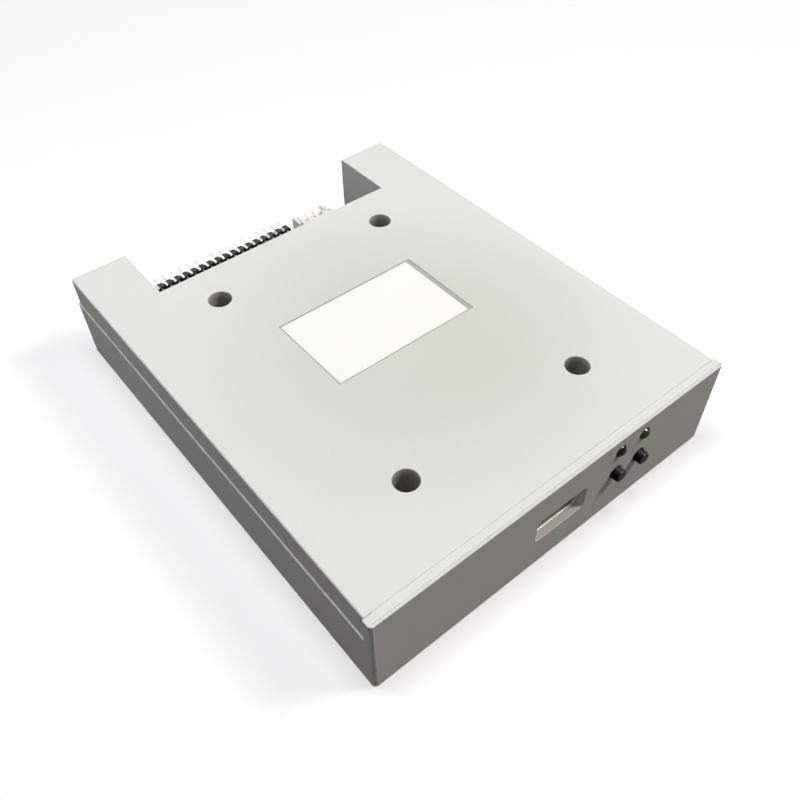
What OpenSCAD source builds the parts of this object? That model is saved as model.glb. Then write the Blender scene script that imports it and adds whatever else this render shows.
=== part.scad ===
// Floppy drive emulator in a case the size of a 3.5-inch drive.
// A notched cover is screwed down on a tray whose front wall is the front panel. Between them sits
// one circuit board with a USB socket, two lamps and two push buttons at the front, and the data,
// power and jumper headers in the notch at the rear.
// X runs to the right as seen from the front, the front panel faces -Y, Z is up.
// The origin is the centre of the underside.

/* [Case] */
// Width of the case
case_w = 101.6; // [98:0.2:110]
// Depth of the case, front panel to rear ears
case_d = 125; // [122:0.5:140]
// Height of the case
case_h = 25; // [24.5:0.1:30]
// Height of the seam between the tray and the cover
seam_z = 17; // [15:0.1:18.5]
// Thickness of the tray's side and rear walls
wall = 2.2; // [1.6:0.1:2.6]
// Thickness of the cover's side and rear walls
cover_wall = 2; // [1.5:0.1:2.4]
// Thickness of the floor and of the cover's top
plate = 2; // [1.5:0.1:2.4]
// Thickness of the front panel
panel_t = 2.5; // [2:0.1:3]
// Step from the tray's outer face in to the cover's
seam_step = 0.4; // [0.2:0.05:0.8]
// Joint between the cover and the front panel
seam_gap = 0.1; // [0.05:0.05:0.4]
// Rounding of the case's upright edges
edge_r = 1; // [0.5:0.1:1.4]
// Rounding of the cover's top edges
cover_edge_r = 0.5; // [0.3:0.1:1]
// Rounding of the front panel's top edge
panel_edge_r = 0.3; // [0.2:0.1:0.8]
// Length of each lip that keeps the cover in line with the tray
lip_len = 12; // [6:1:16]
// Height of the lips above the seam
lip_h = 2.4; // [1.5:0.1:3]
// Thickness of the lips
lip_t = 1.2; // [0.8:0.1:1.6]
// Gap between the lips and the cover's wall
lip_gap = 0.15; // [0.1:0.05:0.3]

/* [Rear notch] */
// Width of the notch
notch_w = 70.6; // [68:0.2:74]
// Depth of the notch, forward from the rear face
notch_depth = 19.7; // [17:0.1:22]
// Height of the lower edge of the cover's notch walls
notch_wall_z = 11.2; // [10.8:0.1:12.5]
// Step from the cover's notch wall back to the tray's
notch_step = 0.3; // [0.1:0.05:0.6]
// Height of the tray's sill between the ears
sill_z = 6; // [4:0.1:7]

/* [Screw wells] */
// Distance between the wells across the case
screw_pitch_x = 50.4; // [46:0.1:52]
// Distance of the front wells from the front face
screw_front = 21; // [20:0.1:23]
// Distance of the rear wells from the notch's front wall
screw_rear = 12.1; // [11:0.1:14]
// Diameter of a well
well_d = 5.9; // [5.6:0.1:6.5]
// Wall of a well
well_wall = 1.3; // [1:0.1:1.6]
// Thickness of the floor of a well
well_floor = 2.2; // [1.6:0.1:3]
// Diameter of a screw's head
screw_head_d = 5.2; // [4.6:0.1:5.4]
// Height of a screw's head
screw_head_h = 2; // [1.5:0.1:2.6]
// Height of the straight rim of a screw's head
screw_rim_h = 1; // [0.6:0.1:1.3]
// Diameter of the top of a screw's head
screw_top_d = 3.6; // [3.2:0.1:4.2]
// Length of the crossed slots in a screw's head
drive_l = 2.8; // [2:0.1:3]
// Width of the crossed slots
drive_w = 0.6; // [0.4:0.1:0.8]
// Depth of the crossed slots
drive_depth = 1.2; // [0.8:0.1:1.4]
// Diameter of a screw's shank
screw_d = 2.4; // [2:0.1:2.6]
// Length of a screw's shank
screw_len = 8; // [6.5:0.1:9]
// Gap round a shank in its pilot hole
pilot_gap = 0.05; // [0.02:0.01:0.1]
// Gap round a shank in the cover and the board
through_gap = 0.4; // [0.2:0.05:0.5]
// Diameter of the tray's screw bosses
boss_d = 7.2; // [6:0.1:8]
// Diameter of the rests under the board's rear corners
rest_d = 3.6; // [3:0.1:4]

/* [Mounting holes] */
// Distance between the underside's mounting holes across the case
mount_pitch_x = 90; // [87:0.1:90.5]
// Distance between the mounting holes along the case
mount_pitch_y = 60; // [56:0.5:64]
// Distance of the first mounting holes from the front face
mount_front = 21; // [18:0.5:24]
// Diameter of a mounting hole, a pilot for an M3 screw
mount_d = 2.5; // [2.4:0.1:3.2]
// Depth of a mounting hole
mount_depth = 6.5; // [5:0.5:8]
// Material round and over a mounting hole
mount_wall = 2; // [1.5:0.1:2.2]

/* [Label] */
// Width of the label
label_w = 38.6; // [30:0.2:42]
// Length of the label
label_l = 23.8; // [18:0.2:28]
// Thickness of the label
label_t = 0.15; // [0.1:0.05:0.3]
// Distance of the label's centre from the front face
label_front = 63.1; // [58:0.1:68]
// Depth of the label's recess
recess_depth = 0.3; // [0.2:0.05:0.5]
// Gap round the label
recess_gap = 0.4; // [0.2:0.05:0.8]
// Further gap on the label's right
recess_gap_right = 0.9; // [0:0.1:1.5]

/* [Board] */
// Height of the board's upper face
board_z = 9.2; // [8.6:0.1:9.6]
// Thickness of the board
board_t = 1.6; // [1.2:0.1:2]
// Gap between the board and the front panel
board_front_gap = 1.5; // [0.8:0.1:1.8]
// Gap from the board's rear edge to the rear face
board_rear_gap = 5; // [4:0.1:6]
// Gap between the board and the notch's sides
board_side_gap = 0.8; // [0.4:0.1:1.2]
// Length of the soldered ends below the board
solder_len = 1.2; // [0.6:0.1:2]
// Gap round a lead in the board
lead_gap = 0.15; // [0.1:0.05:0.2]

/* [USB socket] */
// Width of the metal shell
usb_w = 13.2; // [12.8:0.1:13.6]
// Height of the metal shell
usb_h = 5.7; // [5.5:0.1:6]
// Length of the metal shell
usb_l = 14; // [12:0.1:15]
// Thickness of the shell's sheet
usb_t = 0.3; // [0.2:0.05:0.4]
// Rounding of the shell's corners
usb_r = 0.7; // [0.5:0.1:1]
// Distance of the shell's mouth behind the front face
usb_setback = 2.2; // [1.6:0.1:2.4]
// Gap between the shell and the board
usb_stand = 0.4; // [0.2:0.1:0.8]
// Width of the contact tongue
tongue_w = 11.1; // [10.5:0.1:11.5]
// Thickness of the contact tongue
tongue_t = 1.8; // [1.4:0.1:2]
// Gap between the tongue and the shell's roof
tongue_roof_gap = 0.6; // [0.4:0.1:0.9]
// Distance of the tongue behind the shell's mouth
tongue_setback = 2.2; // [2:0.1:3]
// Length of the block that carries the tongue
tongue_block_l = 4; // [3:0.1:5]
// Distance between the outer two contacts
usb_outer_pitch = 7; // [6.8:0.1:7.2]
// Distance between the inner two contacts
usb_inner_pitch = 2; // [1.9:0.05:2.1]
// Width of a contact
usb_contact_w = 1; // [0.8:0.1:1.2]
// Thickness of a contact
usb_contact_t = 0.25; // [0.2:0.05:0.3]
// Gap between the socket and its soldered leads
usb_lead_gap = 0.4; // [0.2:0.1:0.8]
// Distance of the shell's board tabs behind its mouth
usb_tab_back = 7.7; // [5:0.1:9]
// Width of the shell's board tabs
usb_tab_l = 2.4; // [1.8:0.1:3]
// Clearance all round between the shell and the panel's opening, at the panel's rear
usb_hole_gap = 0.25; // [0.2:0.05:0.5]
// Draft of the opening, wider at the front, on each side
usb_hole_draft = 0.25; // [0.1:0.05:0.5]
// Further width of the opening on each side
usb_hole_side = 0.35; // [0:0.05:0.5]
// Further height of the opening at its top
usb_hole_rise = 0.5; // [0:0.05:0.8]

/* [Lamps] */
// Position of the lamps and buttons on the left, from the case's centre
left_x = 16.9; // [16:0.1:19]
// Distance between the left and the right ones
lamp_pitch = 7.65; // [7.2:0.05:9]
// Distance of the lamps below the top
lamp_drop = 4.2; // [4.2:0.1:5.3]
// Diameter of a lamp's lens
lamp_d = 3; // [2.8:0.1:3.2]
// Length of a lamp with its flange
lamp_l = 5.3; // [4.8:0.1:5.8]
// Diameter of a lamp's flange
lamp_flange_d = 3.6; // [3.4:0.1:3.8]
// Thickness of a lamp's flange
lamp_flange_t = 1; // [0.8:0.1:1.2]
// How far a lens stands out of the panel
lamp_out = 1; // [0.3:0.1:1.4]
// Gap round a lens
lamp_gap = 0.1; // [0.05:0.05:0.2]
// Thickness of a lamp's leads
lamp_lead = 0.5; // [0.4:0.05:0.6]
// Distance between a lamp's two leads
lamp_lead_pitch = 2.54; // [2.2:0.02:2.8]
// Gap between a switch and the lamp leads behind it
lamp_lead_gap = 1.6; // [1:0.1:2]

/* [Push buttons] */
// Diameter of a button's stem
stem_d = 3.1; // [3:0.1:3.8]
// How far a stem stands out of the panel
stem_out = 1.9; // [0.6:0.1:2.2]
// Gap round a stem
stem_gap = 0.3; // [0.2:0.05:0.4]
// Travel of a button
stem_travel = 0.25; // [0.2:0.01:0.35]
// Side of a switch's square base
switch_w = 6; // [5.6:0.1:6.4]
// Height of the foot under a switch's base
switch_foot = 1.3; // [0.5:0.1:2]
// Depth of a switch's base
switch_depth = 3.2; // [3:0.1:3.6]
// Thickness of a switch's steel bracket
bracket_t = 0.3; // [0.2:0.05:0.4]
// Gap between the front panel and a switch
switch_gap = 1.1; // [0.8:0.1:1.5]
// Diameter of the collar that keeps a stem in its switch
collar_d = 4.6; // [4.3:0.1:5]
// Thickness of the collar
collar_t = 0.7; // [0.5:0.1:0.9]
// Diameter of the nub that presses on the spring dome
nub_d = 2; // [1.4:0.1:2.4]
// Length of the nub
nub_l = 0.4; // [0.3:0.05:0.6]
// Inner diameter of the spring dome's foot
dome_d = 4.4; // [4:0.1:4.8]
// Rise of the spring dome
dome_rise = 0.45; // [0.35:0.05:0.5]
// Thickness of the spring dome
dome_t = 0.12; // [0.08:0.02:0.16]
// Gap left over the dome when a button is pressed
dome_gap = 0.06; // [0.04:0.01:0.1]

/* [Headers] */
// Pitch of the data and jumper pins
pin_pitch = 2.54; // [2.5:0.01:2.56]
// Thickness of a pin
pin_w = 0.64; // [0.5:0.02:0.7]
// Columns of the data header
data_columns = 17; // [10:1:17]
// Gap between the notch's left side and the data header
data_side_gap = 4.2; // [3.6:0.1:5]
// Depth of the data header's body
data_body_t = 1.9; // [1.6:0.1:2.5]
// Height of the data header's top above the board
data_top = 5.5; // [5.2:0.1:6]
// Depth of the upper row below the header's top
data_row_drop = 0.95; // [0.9:0.05:1.2]
// Height of the header bodies above the board
header_stand = 0.4; // [0.2:0.1:0.8]
// Size of the grooves between the header's columns
groove = 1.2; // [0.5:0.05:1.3]
// Length of the data pins behind their body
pin_out = 3.8; // [3:0.1:5]
// Gap from the pins' tips to the case's rear face
pin_setback = 0.3; // [0:0.1:1]
// Gap round a pin in its body
pin_gap = 0.03; // [0.02:0.01:0.05]
// Distance from a body to the pins' first bend
tail_l = 1.6; // [1.2:0.1:2]
// Columns of the jumper block
jumper_columns = 3; // [2:1:3]
// Gap between the jumper block and the notch's right side
jumper_side_gap = 1.5; // [1:0.1:2]
// Distance of the jumper block's centre behind the notch's front wall
jumper_back = 4.7; // [3:0.1:5]
// Height of the jumper pins above their body
jumper_pin_h = 5.8; // [5:0.1:6.2]
// Height of the jumper cap
cap_h = 5.6; // [4.8:0.1:6]
// Number of power pins
power_pins_n = 4; // [3:1:4]
// Pitch of the power pins
power_pitch = 2.5; // [2.4:0.02:2.54]
// Gap between the data header and the power header
power_side_gap = 4.1; // [3:0.1:5]
// Height of the power header's block above the board
power_h = 5.1; // [4.8:0.1:5.6]
// Depth of the power header's block
power_t = 3.6; // [3:0.1:4]
// Gap from the power header's block to the case's rear face
power_rear_gap = 4.9; // [4.5:0.1:6]
// Thickness of the power header's tongue and cheeks
power_wall = 1.1; // [0.8:0.1:1.3]
// Height of the power header's cheeks
power_cheek_h = 3.6; // [3:0.1:4.4]
// Margin of the power header beyond its outer pins
power_margin = 1.75; // [1.5:0.05:1.8]
// Width of the moulding notch over each power pin
power_notch_w = 1.5; // [1:0.1:1.8]
// Length of the moulding notches
power_notch_l = 1.3; // [0.8:0.1:1.6]
// Depth of the moulding notches
power_notch_h = 1; // [0.6:0.1:1.2]

/* [Board parts] */
// Side of the processor's package
processor_w = 10; // [8:0.5:12]
// Thickness of the chip packages
chip_t = 1.4; // [1:0.1:1.8]
// Leads on each side of the processor
processor_leads_n = 11; // [8:1:11]
// Pitch of the processor's leads
processor_pitch = 0.8; // [0.5:0.05:0.85]
// Length of the bus driver packages
driver_l = 8.7; // [7:0.1:9.5]
// Width of the bus driver packages
driver_w = 3.9; // [3.5:0.1:4.4]
// Leads on each side of a bus driver
driver_leads_n = 7; // [5:1:7]
// Pitch of the bus drivers' leads
driver_pitch = 1.27; // [1:0.01:1.27]
// Reach of the leads beyond the chips
lead_reach = 1; // [0.8:0.1:1.3]
// Length of the level part of a lead at the chip
lead_knee = 0.4; // [0.3:0.05:0.5]
// Sideways lean of a lead between the chip and its foot
lead_lean = 0.1; // [0.05:0.05:0.2]
// Thickness of the chips' leads
chip_lead_t = 0.2; // [0.15:0.05:0.3]
// Length of the crystal's can
crystal_l = 10.2; // [9:0.1:11]
// Width of the crystal's can
crystal_w = 3.8; // [3.4:0.1:4.4]
// Height of the crystal's can
crystal_h = 3.5; // [3:0.1:4.5]
// Width of the rim at the foot of the crystal's can
crystal_rim = 0.35; // [0.2:0.05:0.5]
// Thickness of the rim
crystal_rim_h = 0.5; // [0.3:0.1:0.8]
// Diameter of a capacitor
can_d = 5.9; // [5:0.1:7]
// Height of a capacitor
can_h = 7; // [5:0.1:9]
// Side of a capacitor's square foot
can_foot = 6.3; // [5.2:0.1:7.4]
// Width of the regulator
regulator_w = 6.5; // [5.5:0.1:7]
// Depth of the regulator
regulator_l = 3.5; // [3:0.1:4]
// Width of the regulator's cooling tab
regulator_tab_w = 3; // [2.5:0.1:3.5]
// Length of the regulator's cooling tab
regulator_tab_l = 1.8; // [1.2:0.1:2.4]
// Number of chip resistors
resistors_n = 8; // [4:1:10]
// Width of a chip resistor
resistor_w = 1.25; // [0.8:0.05:1.6]
// Length of a chip resistor
resistor_l = 2; // [1.6:0.1:2.4]
// Thickness of a chip resistor
resistor_t = 0.55; // [0.4:0.05:0.7]

/* [Hidden] */
$fn = 48;
// A small overlap, and a length beyond anything here
eps = 0.01;
deep = 80;

// Colours as the photograph shows them
case_grey = "#DFE0DA";
black = "#26262A";
white = "#F4F4EE";
steel = "#B9BBBD";
brass = "#C9A24A";

// Faces of the case
y_front = -case_d / 2;
y_rear = case_d / 2;
y_panel = y_front + panel_t;
y_cover = y_panel + seam_gap;
y_notch = y_rear - notch_depth;
half_w = case_w / 2;
cover_half_w = half_w - seam_step;
cover_rear = y_rear - seam_step;
z_roof = case_h - plate;

// Screw wells and mounting holes, as corner positions
screw_y = [y_front + screw_front, y_notch - screw_rear];
screw_spots = [for (x = [-1, 1], y = screw_y) [x * screw_pitch_x / 2, y]];
mount_y = [y_front + mount_front, y_front + mount_front + mount_pitch_y];
mount_spots = [for (x = [-1, 1], y = mount_y) [x * mount_pitch_x / 2, y]];
through_d = screw_d + 2 * through_gap;
label_y = y_front + label_front;

// Board
board_w = notch_w - 2 * board_side_gap;
board_y0 = y_panel + board_front_gap;
board_y1 = y_rear - board_rear_gap;
z_board_under = board_z - board_t;
z_solder = z_board_under - solder_len;

// USB socket
usb_z = board_z + usb_stand + usb_h / 2;
usb_y0 = y_front + usb_setback;
usb_y1 = usb_y0 + usb_l;
usb_tab_y = usb_y0 + usb_tab_back;
tongue_z = usb_z + usb_h / 2 - usb_t - tongue_roof_gap - tongue_t / 2;
usb_contact_xs = [for (p = [-usb_outer_pitch, -usb_inner_pitch, usb_inner_pitch, usb_outer_pitch]) p / 2];
usb_drop_y = usb_y1 + usb_lead_gap + usb_contact_t / 2;
usb_contact_y0 = usb_y0 + tongue_setback + tongue_t / 2;
usb_contact_z1 = tongue_z - tongue_t / 2;
usb_contact_z0 = usb_contact_z1 - usb_contact_t;

// Lamps and push buttons
lamp_z = case_h - lamp_drop;
lamp_xs = [left_x, left_x + lamp_pitch];
switch_z1 = board_z + switch_foot + switch_w;
button_z = switch_z1 - switch_w / 2;
switch_y0 = y_panel + switch_gap;
base_y0 = switch_y0 + bracket_t;
base_y1 = base_y0 + switch_depth;
nub_end = base_y0 + collar_t + nub_l;
pocket_y = nub_end + stem_travel + dome_gap + dome_rise + dome_t;
lamp_y1 = y_front - lamp_out + lamp_l;
lamp_drop_y = base_y1 + lamp_lead_gap + lamp_lead / 2;

// Headers at the rear
data_w = data_columns * pin_pitch;
data_x = data_side_gap + (data_w - notch_w) / 2;
data_y1 = y_rear - pin_setback - pin_out;
data_y0 = data_y1 - data_body_t;
data_z1 = board_z + data_top;
data_z0 = board_z + header_stand;
data_rows = [data_z1 - data_row_drop - pin_pitch, data_z1 - data_row_drop];
pin_tip = y_rear - pin_setback;
pin_taper = pin_w / 4;
power_y1 = y_rear - power_rear_gap;
power_y0 = power_y1 - power_t;
power_w = (power_pins_n - 1) * power_pitch + 2 * power_margin;
power_x = data_x + data_w / 2 + power_side_gap + power_w / 2;
power_pin_z = board_z + power_h / 2 + power_wall / 2;
power_z1 = board_z + power_h;
jumper_x = (notch_w - jumper_columns * pin_pitch) / 2 - jumper_side_gap;
jumper_y = y_notch + jumper_back;
jumper_spots = [
  for (x = spread(jumper_columns, pin_pitch), y = spread(2, pin_pitch)) [jumper_x + x, jumper_y + y]
];

// Places of the parts inside, on the board
processor_at = [-4, -8];
driver_ats = [[-16, 14], [2, 14]];
crystal_at = [14, -10];
regulator_at = [-24, -20];
capacitor_ats = [[16, 6], [24, -18]];
resistor_y = y_notch - 2 * wall;

function spread(n, pitch) = [for (i = [0 : n - 1]) (i - (n - 1) / 2) * pitch];

// A profile drawn in Y and Z, carried along X and centred on x
module along_x(x, len) {
  translate([x - len / 2, 0, 0]) rotate([90, 0, 90]) linear_extrude(len) children();
}

// A profile drawn in X and Z, carried from y0 to y1
module along_y(y0, y1) {
  translate([0, y1, 0]) rotate([90, 0, 0]) linear_extrude(y1 - y0) children();
}

// A box between two corners
module block(a, b) {
  translate(a) cube(b - a);
}

// A rectangle with round corners, centred
module round_rect(w, h, r) {
  square([w - 2 * r, h], center = true);
  square([w, h - 2 * r], center = true);
  for (x = [-1, 1], y = [-1, 1]) translate([x * (w / 2 - r), y * (h / 2 - r)]) circle(r = r);
}

// A round bar along Y from y0 to y1
module bar_y(x, z, y0, y1, d) {
  translate([x, y0, z]) rotate([-90, 0, 0]) cylinder(d = d, h = y1 - y0);
}

// A bent lead of thickness w: level from its tapered tip to the bend at drop_y, then down to z_end
module bent_lead(x, z, y_tip, drop_y, z_end, w, taper) {
  side = y_tip > drop_y ? 1 : -1;
  along_x(x, w) polygon([
    [y_tip, z + w / 2 - taper], [y_tip - side * 2 * taper, z + w / 2],
    [drop_y - side * w / 2, z + w / 2], [drop_y - side * w / 2, z_end],
    [drop_y + side * w / 2, z_end], [drop_y + side * w / 2, z - w / 2],
    [y_tip - side * 2 * taper, z - w / 2], [y_tip, z - w / 2 + taper]
  ]);
}

// Plan of the case between two rounded ends, from y0 to y1
module plan(half, y0, y1, r_front, r_rear) {
  translate([-half, y0 + r_front]) square([2 * half, y1 - y0 - r_front - r_rear]);
  for (e = [[y0, r_front, 1], [y1, r_rear, -1]]) if (e[1] > 0) {
    translate([-half + e[1], min(e[0], e[0] + e[2] * e[1])]) square([2 * (half - e[1]), e[1]]);
    for (x = [-1, 1]) translate([x * (half - e[1]), e[0] + e[2] * e[1]]) circle(r = e[1]);
  }
}

// Front view of the case with rounded top corners
module front_view(half, z0, z1, r) {
  translate([-half, z0]) square([2 * half, z1 - z0 - r]);
  translate([-half + r, z1 - r - eps]) square([2 * (half - r), r + eps]);
  for (x = [-1, 1]) translate([x * (half - r), z1 - r]) circle(r = r);
}

// Side view of the case with a rounded top corner at its end, y_r
module side_view(y_flat, y_r, z0, z1, r) {
  s = y_r > y_flat ? 1 : -1;
  lo = min(y_flat, y_r);
  hi = max(y_flat, y_r);
  translate([lo, z0]) square([hi - lo, z1 - z0 - r]);
  translate([s > 0 ? lo : lo + r, z1 - r - eps]) square([hi - lo - r, r + eps]);
  translate([y_r - s * r, z1 - r]) circle(r = r);
}

// Outline of the notch in plan, grown by g at the sides and the front
module notch_plan(g) {
  translate([-notch_w / 2 - g, y_notch - g]) square([notch_w + 2 * g, deep]);
}

// The USB opening through the front panel, drafted, with round corners
module usb_opening() {
  r = usb_r + usb_hole_gap;
  flat_x = usb_w / 2 - usb_r + usb_hole_side;
  flat_z = usb_h / 2 - usb_r;
  flat_top = flat_z + usb_hole_rise;
  draft = usb_hole_draft;
  translate([0, y_front, usb_z]) {
    along_x(0, 2 * flat_x) polygon([
      [0, -flat_z - r - draft], [panel_t, -flat_z - r],
      [panel_t, flat_top + r], [0, flat_top + r + draft]
    ]);
    translate([0, 0, -flat_z]) linear_extrude(flat_z + flat_top) polygon([
      [-flat_x - r - draft, 0], [-flat_x - r, panel_t],
      [flat_x + r, panel_t], [flat_x + r + draft, 0]
    ]);
    for (x = [-1, 1], z = [-flat_z, flat_top]) translate([x * flat_x, 0, z])
      rotate([-90, 0, 0]) cylinder(r1 = r + draft, r2 = r, h = panel_t);
  }
}

// Tray with the front panel, the screw bosses and the mounting holes
module bottom_case() color(case_grey) difference() {
  union() {
    difference() {
      intersection() {
        linear_extrude(case_h) plan(half_w, y_front, y_rear, edge_r, edge_r);
        along_x(0, deep * 2) side_view(y_rear + deep, y_front, 0, case_h, panel_edge_r);
      }
      // Room for the cover
      block([-deep, y_panel, seam_z], [deep, deep * 2, deep]);
      // The hollow between the walls
      difference() {
        block([-half_w + wall, y_panel, plate], [half_w - wall, y_rear - wall, deep]);
        // Inner walls of the two ears
        for (x = [-1, 1])
          translate([x * (notch_w / 2 + notch_step + wall / 2), (y_notch + y_rear) / 2, 0])
            cube([wall, notch_depth, 2 * notch_wall_z], center = true);
      }
      // Room for the cover's notch walls, and the opening between the ears
      block([-notch_w / 2 - wall - seam_gap, y_notch - wall, notch_wall_z],
            [notch_w / 2 + wall + seam_gap, deep * 2, deep]);
      block([-notch_w / 2 - notch_step, y_notch, sill_z],
            [notch_w / 2 + notch_step, deep * 2, deep]);
    }
    for (p = screw_spots) translate([p[0], p[1], plate - eps])
      cylinder(d = boss_d, h = z_board_under - plate + eps);
    for (p = mount_spots) {
      translate(p) cylinder(d = mount_d + 2 * mount_wall, h = mount_depth + mount_wall);
      // Web from the boss to the side wall
      s = sign(p[0]);
      block([min(p[0], s * (half_w - wall / 2)), p[1] - mount_wall / 2, plate / 2],
            [max(p[0], s * (half_w - wall / 2)), p[1] + mount_wall / 2, mount_depth]);
    }
    // Rests under the board's rear corners
    for (x = [-1, 1]) translate([x * (board_w - rest_d) / 2, board_y1 - rest_d / 2, plate - eps])
      cylinder(d = rest_d, h = z_board_under - plate + eps);
    // Lips that stand inside the cover's skirt
    for (x = [-1, 1], y = mount_y) {
      inner = cover_half_w - cover_wall - lip_gap;
      yl = y + mount_pitch_y / 4;
      block([min(x * inner, x * (inner - lip_t)), yl - lip_len / 2, seam_z - 2 * lip_h],
            [max(x * inner, x * (inner - lip_t)), yl + lip_len / 2, seam_z + lip_h]);
      root = half_w - wall / 2;
      block([min(x * root, x * (inner - lip_t)), yl - lip_len / 2, seam_z - 2 * lip_h],
            [max(x * root, x * (inner - lip_t)), yl + lip_len / 2, seam_z]);
    }
    // Rests for the cover's front edge
    for (x = [-1, 1])
      translate([x * (half_w - wall - lip_len), y_panel + lip_h / 2 - eps, z_roof - lip_t / 2])
        cube([lip_len, lip_h, lip_t], center = true);
  }
  for (p = screw_spots) translate([p[0], p[1], plate]) cylinder(d = screw_d + 2 * pilot_gap, h = deep);
  for (p = mount_spots) translate([p[0], p[1], -eps]) cylinder(d = mount_d, h = mount_depth + eps);
  usb_opening();
  for (x = lamp_xs) {
    bar_y(x, lamp_z, y_front - eps, y_panel + eps, lamp_d + 2 * lamp_gap);
    bar_y(x, button_z, y_front - eps, y_panel + eps, stem_d + 2 * stem_gap);
  }
}

// Cover with its skirt, the rear notch and the four screw wells
module top_cover() color(case_grey) difference() {
  union() {
    difference() {
      intersection() {
        translate([0, 0, seam_z]) linear_extrude(case_h - seam_z) difference() {
          plan(cover_half_w, y_cover, cover_rear, 0, edge_r);
          notch_plan(0);
        }
        along_y(-deep * 2, deep * 2) front_view(cover_half_w, 0, case_h, cover_edge_r);
        along_x(0, deep * 2) side_view(-deep * 2, cover_rear, 0, case_h, cover_edge_r);
      }
      translate([0, 0, seam_z - eps]) linear_extrude(z_roof - seam_z + eps) difference() {
        translate([-cover_half_w + cover_wall, y_cover - eps])
          square([2 * (cover_half_w - cover_wall), cover_rear - cover_wall - y_cover + eps]);
        notch_plan(wall);
      }
    }
    // Notch walls, which hang below the seam
    translate([0, 0, notch_wall_z]) linear_extrude(case_h - plate / 2 - notch_wall_z) intersection() {
      difference() {
        notch_plan(wall);
        notch_plan(0);
      }
      translate([-deep, -deep]) square([2 * deep, deep + cover_rear]);
    }
    for (p = screw_spots) translate([p[0], p[1], board_z])
      cylinder(d = well_d + 2 * well_wall, h = case_h - plate / 2 - board_z);
  }
  for (p = screw_spots) translate([p[0], p[1], board_z]) {
    translate([0, 0, well_floor]) cylinder(d = well_d, h = deep);
    translate([0, 0, -eps]) cylinder(d = through_d, h = deep);
  }
  // Recess for the label
  block([-label_w / 2 - recess_gap, label_y - label_l / 2 - recess_gap, case_h - recess_depth],
        [label_w / 2 + recess_gap + recess_gap_right, label_y + label_l / 2 + recess_gap, deep]);
}

// Blank label stuck in its recess
module label() color(white) translate([0, label_y, case_h - recess_depth + label_t / 2])
  cube([label_w, label_l, label_t], center = true);

// Drilled hole for a lead, eight-sided
module lead_hole(x, y, w) {
  translate([x, y, z_board_under - eps])
    cylinder(r = w * sqrt(2) / 2 + lead_gap, h = board_t + 2 * eps, $fn = 8);
}

// Slot in the board for a flat tab
module tab_slot(x, y, t, len) {
  translate([x, y, z_board_under + board_t / 2])
    cube([t + 2 * lead_gap, len + 2 * lead_gap, board_t + 2 * eps], center = true);
}

// Circuit board with its holes
module main_board() color("#1F6B3F") difference() {
  block([-board_w / 2, board_y0, z_board_under], [board_w / 2, board_y1, board_z]);
  for (p = screw_spots) translate([p[0], p[1], 0]) cylinder(d = through_d, h = deep);
  for (x = spread(data_columns, pin_pitch), r = [0, 1])
    lead_hole(data_x + x, data_y0 - tail_l - r * pin_pitch, pin_w);
  for (x = spread(power_pins_n, power_pitch)) lead_hole(power_x + x, power_y0 - tail_l, pin_w);
  for (p = jumper_spots) lead_hole(p[0], p[1], pin_w);
  for (x = usb_contact_xs) lead_hole(x, usb_drop_y, usb_contact_w);
  for (s = [-1, 1]) tab_slot(s * (usb_w - usb_t) / 2, usb_tab_y, usb_t, usb_tab_l);
  for (x = lamp_xs, s = [-1, 1]) {
    lead_hole(x + s * lamp_lead_pitch / 2, lamp_drop_y, lamp_lead);
    tab_slot(x + s * (switch_w + bracket_t) / 2, (switch_y0 + base_y1) / 2,
             bracket_t, base_y1 - switch_y0);
  }
}

// Four screws with crossed slots in their heads
module cover_screws() color(steel) for (p = screw_spots) translate([p[0], p[1], board_z + well_floor])
  difference() {
    union() {
      cylinder(d = screw_head_d, h = screw_rim_h);
      translate([0, 0, screw_rim_h])
        cylinder(d1 = screw_head_d, d2 = screw_top_d, h = screw_head_h - screw_rim_h);
      translate([0, 0, -screw_len]) cylinder(d = screw_d, h = screw_len + eps);
    }
    for (a = [0, 90]) rotate(a) translate([0, 0, screw_head_h])
      cube([drive_l, drive_w, 2 * drive_depth], center = true);
  }

// Metal shell of the USB socket with its two board tabs
module usb_shell() color(steel) {
  along_y(usb_y0, usb_y1) translate([0, usb_z]) difference() {
    round_rect(usb_w, usb_h, usb_r);
    round_rect(usb_w - 2 * usb_t, usb_h - 2 * usb_t, usb_r - usb_t);
  }
  for (s = [-1, 1]) translate([s * (usb_w - usb_t) / 2, usb_tab_y, (z_solder + usb_z) / 2])
    cube([usb_t, usb_tab_l, usb_z - z_solder], center = true);
}

// Insulator of the USB socket: a block at the rear and the tongue that carries the contacts
module usb_tongue() color(white) difference() {
  union() {
    along_y(usb_y1 - tongue_block_l, usb_y1) translate([0, usb_z])
      round_rect(usb_w - 2 * usb_t - 2 * pin_gap, usb_h - 2 * usb_t - 2 * pin_gap, usb_r - usb_t);
    translate([0, (usb_y0 + tongue_setback + usb_y1) / 2, tongue_z])
      cube([tongue_w, usb_y1 - usb_y0 - tongue_setback, tongue_t], center = true);
  }
  for (x = usb_contact_xs) block(
    [x - usb_contact_w / 2 - pin_gap, usb_y1 - tongue_block_l - eps, usb_contact_z0 - pin_gap],
    [x + usb_contact_w / 2 + pin_gap, usb_y1 + eps, usb_contact_z1]);
}

// Four contacts under the tongue, bent down behind the block to the board
module usb_contacts() color(brass) for (x = usb_contact_xs) along_x(x, usb_contact_w) polygon([
  [usb_contact_y0, usb_contact_z1], [usb_drop_y + usb_contact_t / 2, usb_contact_z1],
  [usb_drop_y + usb_contact_t / 2, z_solder], [usb_drop_y - usb_contact_t / 2, z_solder],
  [usb_drop_y - usb_contact_t / 2, usb_contact_z0], [usb_contact_y0, usb_contact_z0]
]);

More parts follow.
